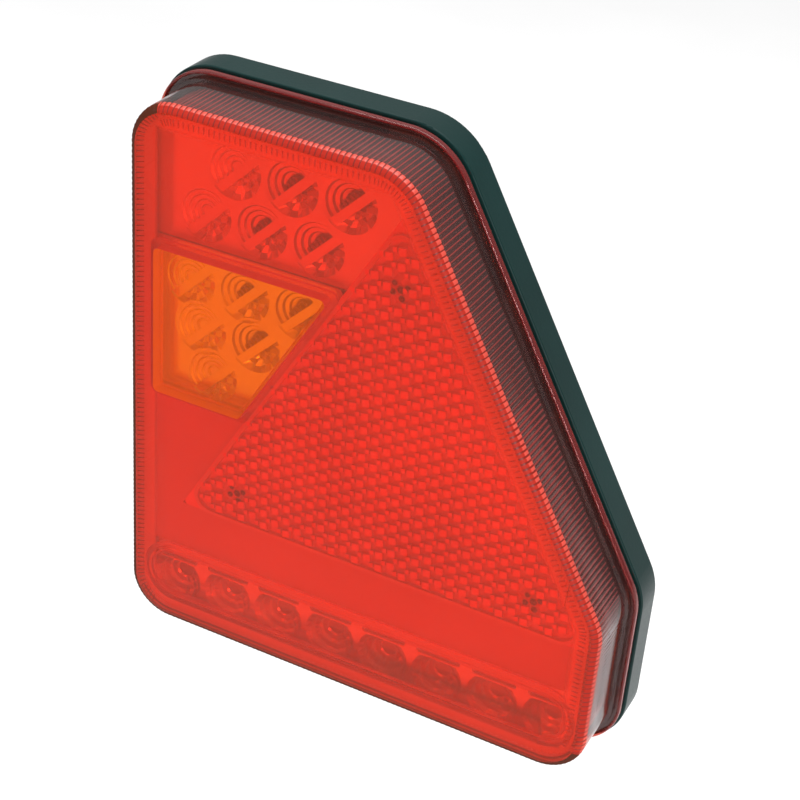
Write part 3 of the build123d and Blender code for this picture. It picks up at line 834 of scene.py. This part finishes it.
def arc_loop(x, z, r, depth, sectors, cuts=(), flute=0.0):
    """Ring of a cup; the flutes are deepest towards the lower right."""
    loop = []
    for q in range(sectors):
        angle = 2 * math.pi * q / sectors
        weight = max(0.0, math.cos(angle + math.pi / 4))
        dip = flute * weight * (1 if q % 2 else -1)
        dx, dz = drawn_in(x, z, (r + dip) * math.cos(angle), (r + dip) * math.sin(angle), cuts)
        loop.append((x + dx, z + dz, depth + abs(dip) * 0.6))
    return loop


CELL_FLUTE = 0.35
BOWL_POWER = 1.7         # how much faster a strip cell deepens near its rim


def cup_rings(x, z, rim, foot, deep, steps, sectors, cuts=()):
    """Stepped cup as rings from rim to foot: a shallow tread, then a steep riser, over and over."""
    rings = []
    for k in range(steps):
        outer = rim + (foot - rim) * k / steps
        inner = rim + (foot - rim) * (k + 1) / steps
        high = CUP_RIM + deep * (1 - (1 - k / steps) ** BOWL_POWER)
        low = CUP_RIM + deep * (1 - (1 - (k + 1) / steps) ** BOWL_POWER)
        tread = high + (low - high) * 0.35
        rings.append(arc_loop(x, z, outer, high, sectors, cuts, CELL_FLUTE if k else 0.0))
        rings.append(arc_loop(x, z, outer + (inner - outer) * 0.75, tread, sectors, cuts, CELL_FLUTE))
    rings.append(arc_loop(x, z, foot, CUP_RIM + deep, sectors, cuts))
    return rings


DIAGONAL = 45            # direction of the web across a cup, in degrees
WEB_HALF = 18            # half the angle that the web takes up at the rim
CUP_SECTORS = 40
CUP_STEPS = 4
CUP_FLOOR_R = 2.2
FACET_WIDTH = 9          # degrees
FACET_ROWS = 4
RIB_PITCH = 1.95


def stepped_cup(body, x, z, rim, deep, ribs, cuts):
    """Round reflector cup: concentric steps above its diagonal, every other one painted darker as shade, a
    plain web, facets below it in groups painted alternately plain and darker as shade, and a row of `ribs`
    small ribs along the diagonal, painted dark as reflections. Cups with ribs get the strong painted shade,
    the others the weak."""
    # Strength of the painted shade on this cup's steps and facets.
    step = STRONG_SHADE if ribs else WEAK_SHADE
    web = CUP_RIM + 0.5

    def spot(r, angle, depth):
        turn = math.radians(DIAGONAL + angle)
        dx, dz = drawn_in(x, z, r * math.cos(turn), r * math.sin(turn), cuts)
        return (x + dx, z + dz, depth)

    def strip(first, second, slot=PLAIN):
        size = len(first)
        quads = [(k, k + 1, size + k + 1, size + k) for k in range(size - 1)]
        body.add(first + second, quads, slot)

    upper = CUP_SECTORS // 2
    arcs = []
    for k in range(CUP_STEPS):
        outer = rim + (CUP_FLOOR_R - rim) * k / CUP_STEPS
        inner = rim + (CUP_FLOOR_R - rim) * (k + 1) / CUP_STEPS
        high = CUP_RIM + deep * k / CUP_STEPS
        tread = high + deep / CUP_STEPS * 0.3
        for r, d in ((outer, high), (outer + (inner - outer) * 0.7, tread)):
            arcs.append([spot(r, 180 * q / upper, d) for q in range(upper + 1)])
    arcs.append([spot(CUP_FLOOR_R, 180 * q / upper, CUP_RIM + deep) for q in range(upper + 1)])
    for k, (first, second) in enumerate(zip(arcs, arcs[1:])):
        strip(first, second, step if k % 2 else PLAIN)
    floor = arcs[-1]
    body.add(floor, [tuple(range(len(floor)))], PLAIN)
    for end in (0, -1):
        foot = [arc[end] for arc in arcs]
        strip(foot, [(px, pz, web) for px, pz, _ in foot])
    ends = [floor[0], floor[-1]]
    strip(ends, [(px, pz, web) for px, pz, _ in ends])

    width = rim * math.sin(math.radians(WEB_HALF))
    turns = (180, 180 + WEB_HALF // 2, 180 + WEB_HALF, -WEB_HALF, -WEB_HALF // 2, 0)
    border = [spot(rim, a, web) for a in turns]
    body.add(border, [tuple(range(6))], PLAIN)
    for run in (border[:3], border[3:]):
        strip(run, [(px, pz, CUP_RIM) for px, pz, _ in run])

    lower = (180 - 2 * WEB_HALF) // FACET_WIDTH
    fan = []
    for j in range(FACET_ROWS):
        r = rim + (width + 0.5 - rim) * j / (FACET_ROWS - 1)
        half = math.degrees(math.acos(min(1.0, width / r)))
        ring = []
        for q in range(lower + 1):
            dip = 0.28 * deep if j and (q // 3 + j) % 2 else 0.0
            sink = deep * 0.45 * j / (FACET_ROWS - 1) + dip
            ring.append(spot(r, -90 - half + 2 * half * q / lower, CUP_RIM + sink))
        fan.append(ring)
    for j, (first, second) in enumerate(zip(fan, fan[1:])):
        for q in range(lower):
            strip(first[q:q + 2], second[q:q + 2], step if (q // 3 + j) % 2 else PLAIN)
    last = fan[-1]
    start, stop = fan[0][0], fan[0][-1]
    chord = [
        tuple(start[i] + (stop[i] - start[i]) * q / lower for i in range(2)) + (web,)
        for q in range(lower + 1)
    ]
    strip(last, chord)

    # Ribs painted dark as reflections.
    for k in range(ribs):
        along = (k - (ribs - 1) / 2) * RIB_PITCH
        length = 2.6 - 0.18 * abs(along)
        tear = [(-0.45, 0.1), (0.45, 0.1), (0.6, 0.9), (0.3, length), (-0.25, length * 0.92), (-0.55, 0.9)]
        ring = []
        for px, pz in tear:
            r = math.hypot(along + px, pz)
            ring.append(spot(r, math.degrees(math.atan2(pz, along + px)), CUP_RIM + 0.9))
        foot = [(px, pz, CUP_RIM + 2.2) for px, pz, _ in ring]
        body.loft([ring, foot], PAINTED_REFLECTION, False)
        body.add(ring, [tuple(range(6))], PAINTED_REFLECTION)


SLOT_DEPTH = 1.2
CELL_SECTORS = 24
CELL_FOOT, CELL_DEPTH, CELL_STEPS = 3.2, 6.0, 3


def strip_cell(body, x, z, rim, hole, cuts):
    """One cell of the bottom strip, a stepped bowl that starts at the ring `hole`."""
    rings = cup_rings(x, z, rim, CELL_FOOT, CELL_DEPTH, CELL_STEPS, len(hole), cuts)
    rings[0] = hole
    body.loft(rings, smooth=False)
    body.add(rings[-1], [tuple(range(len(hole)))], PLAIN)


def reflector(name, outline, centres, rim, node, cups=(), cuts=(), slots=()):
    """Reflector body with its cups.

    `cups` gives each cup's depth and its number of ribs painted dark as reflections; cups with ribs get
    strong painted shade, and without it the cups are strip cells.
    `slots` are recesses in the face, as centre, width and height, painted in weak shade.
    """
    body = Builder()
    face = [(x, z, CUP_RIM) for x, z in outline]
    foot_edge = [(x, z, BOARD) for x, z in outline]
    sectors = CUP_SECTORS if cups else CELL_SECTORS
    holes = [arc_loop(x, z, rim, CUP_RIM, sectors, cuts) for x, z in centres]
    slot_loops = []
    for sx, sz, sw, sh in slots:
        corners = [(sx - sw / 2, sz - sh / 2), (sx + sw / 2, sz - sh / 2),
                   (sx + sw / 2, sz + sh / 2), (sx - sw / 2, sz + sh / 2)]
        slot_loops.append(plan_loop(corners, 0.5, CUP_RIM, 1.0))
    every = holes + slot_loops
    body.cap(
        [face] + every,
        lambda x, z: inside(face, x, z) and not any(inside(h, x, z) for h in every),
    )
    body.loft([face, foot_edge], smooth=False)
    for k, ((x, z), hole) in enumerate(zip(centres, holes)):
        if cups:
            stepped_cup(body, x, z, rim, *cups[k], cuts)
        else:
            strip_cell(body, x, z, rim, hole, cuts)
    for loop in slot_loops:
        deep = [(x, z, CUP_RIM + SLOT_DEPTH) for x, z, _ in loop]
        # The recess is painted in weak shade.
        body.loft([loop, deep], WEAK_SHADE, False)
        body.add(deep, [tuple(range(len(deep)))], WEAK_SHADE)
    body.finish(
        name,
        [mirror, rib_reflection_dark, mirror_shade, mirror_weak_shade],
        "metallised_plastic",
        hides=(node,),
        weld=False,
    )


def face_outline(points, radii):
    samples, _ = rounded(points, radii, 1.5)
    return [(x, z) for x, z, *_ in samples]


CUP_R, CELL_R = 10.6, 10.3
CUP_PITCH, CELL_PITCH = 22.0, 22.4
STOP_Z, STOP_ROW = 192.4, 19.05
TURN_Z = 146.6
stop_centres = [(37.0 + i * CUP_PITCH, STOP_Z) for i in range(3)]
stop_centres += [(26.0 + i * CUP_PITCH, STOP_Z - STOP_ROW) for i in range(3)]
turn_centres = [(20.0 + i * CUP_PITCH, TURN_Z) for i in range(3)]
turn_centres += [(25.0 + i * CUP_PITCH, TURN_Z - 18.3) for i in range(2)]
turn_centres += [(30.0, TURN_Z - 36.0)]
strip_centres = [(LENS_W / 2 + (i - 3.5) * CELL_PITCH, 15.0) for i in range(8)]

reflector(
    "stop_reflector_cups",
    face_outline(
        [(4.6, 161.3), (83.0, 161.3), (100.1, 191.0), (111.6, 191.0), (101.6, 208.4), (4.6, 208.4)],
        (0.5, 2, SHARP, 1.5, 17.4, 12.4),
    ),
    stop_centres,
    CUP_R,
    "stop_reflector",
    cups=[(3.0, 0), (4.0, 4), (4.5, 5), (2.5, 0), (3.5, 4), (4.5, 5)],
)
TURN_FOOT, TURN_HEAD = (46.9, 99.6), (82.2, 160.8)      # ends of the leaning edge
slope = math.atan2(TURN_HEAD[1] - TURN_FOOT[1], TURN_HEAD[0] - TURN_FOOT[0])
turn_edge = (
    math.sin(slope),
    -math.cos(slope),
    math.sin(slope) * TURN_FOOT[0] - math.cos(slope) * TURN_FOOT[1] - 0.6,
)
reflector(
    "turn_reflector_cups",
    face_outline([(4.6, 99.6), TURN_FOOT, TURN_HEAD, (4.6, 160.8)], (0.5, 2, 2, 0.5)),
    turn_centres,
    CUP_R,
    "turn_reflector",
    cups=[(2.0, 0), (3.5, 3), (4.5, 5), (2.5, 0), (4.5, 5), (2.5, 0)],
    cuts=[turn_edge],
)
reflector(
    "strip_reflector_cells",
    face_outline([(4.7, 4.8), (185.3, 4.8), (185.3, 33.0), (4.7, 33.0)], (10.9, 10.9, 1, 1)),
    strip_centres,
    CELL_R,
    "strip_reflector",
    cuts=[(0, 1, 22.7)],
    slots=[(x, 24.4, 17.6, 2.2) for x, _ in strip_centres],
)

# ---------------------------------------------------------------- camera at the photograph's angle
AZIMUTH, ELEVATION, ROLL = math.radians(25.0162), math.radians(31.555), math.radians(4.719)
FOCAL_PX, IMAGE_PX, SENSOR_MM = 1877.13, 800, 36.0
DISTANCE = 0.66024                            # metres from AIM
AIM = Vector(point(95.0, 105.0, 20.0))
SHIFT_RIGHT, SHIFT_UP = -4.7393, -9.6506      # mm
back = Vector((
    math.sin(AZIMUTH) * math.cos(ELEVATION),
    -math.cos(AZIMUTH) * math.cos(ELEVATION),
    math.sin(ELEVATION),
))
side = Vector((math.cos(AZIMUTH), math.sin(AZIMUTH), 0))
up = back.cross(side)
right = side * math.cos(ROLL) + up * math.sin(ROLL)
above = up * math.cos(ROLL) - side * math.sin(ROLL)
cam_data = bpy.data.cameras.new("camera")
cam_data.sensor_width = SENSOR_MM
cam_data.lens = FOCAL_PX / IMAGE_PX * SENSOR_MM
cam_data.clip_start = 0.02
cam_data.clip_end = 50
camera = bpy.data.objects.new("camera", cam_data)
bpy.context.scene.collection.objects.link(camera)
location = AIM - right * (SHIFT_RIGHT / 1000) - above * (SHIFT_UP / 1000) + back * DISTANCE
turn = Matrix((right, above, back)).transposed().to_4x4()
camera.matrix_world = Matrix.Translation(location) @ turn
bpy.context.scene.camera = camera

# ---------------------------------------------------------------- floor and light
FLOOR_HALF = 6.0
FLOOR_GAP = 0.25         # metres from the lamp down to the floor
floor_z = house_low.z - FLOOR_GAP
mesh = bpy.data.meshes.new("floor")
corners = [(x * FLOOR_HALF, y * FLOOR_HALF, floor_z) for x, y in ((-1, -1), (1, -1), (1, 1), (-1, 1))]
mesh.from_pydata(corners, [], [(0, 1, 2, 3)])
floor = bpy.data.objects.new("floor", mesh)
bpy.context.scene.collection.objects.link(floor)
floor_mat, tree, shader = new_material("floor_paper")
tone = ramp(tree, noise(tree, 3.0).outputs["Fac"], (0.92, 0.92, 0.92), (0.95, 0.95, 0.95))
tree.links.new(tone.outputs["Color"], shader.inputs["Base Color"])
shader.inputs["Roughness"].default_value = 0.9
mesh.materials.append(floor_mat)

world = bpy.data.worlds.new("studio")
bpy.context.scene.world = world
world.use_nodes = True
tree = world.node_tree
coords = tree.nodes.new("ShaderNodeTexCoord")
split = tree.nodes.new("ShaderNodeSeparateXYZ")
tree.links.new(coords.outputs["Generated"], split.inputs["Vector"])
sky = ramp(tree, split.outputs["Z"], (0.30, 0.30, 0.30), (1.0, 1.0, 1.0), 0.03, 0.9)
step = sky.color_ramp.elements.new(0.5)
step.color = (0.62, 0.62, 0.62, 1)
tree.links.new(sky.outputs["Color"], tree.nodes["Background"].inputs["Color"])
tree.nodes["Background"].inputs["Strength"].default_value = 1.0


ORIGIN = Vector((0, 0, 0))


def area(name, place, size, power):
    """Rectangular light at `place` that points at the frame's origin."""
    data = bpy.data.lights.new(name, "AREA")
    data.shape = "RECTANGLE"
    data.size, data.size_y = size
    data.energy = power
    lamp = bpy.data.objects.new(name, data)
    bpy.context.scene.collection.objects.link(lamp)
    lamp.location = place
    lamp.rotation_mode = "QUATERNION"
    lamp.rotation_quaternion = (ORIGIN - Vector(place)).to_track_quat("-Z", "Y")


area("key", (1.1, -1.35, 0.15), (0.5, 0.5), 11)
area("fill", (-1.2, -1.0, 0.9), (0.8, 0.8), 3)
area("overhead", (0.0, 0.2, 1.7), (1.6, 1.2), 22)

bpy.context.scene.view_settings.view_transform = "Standard"
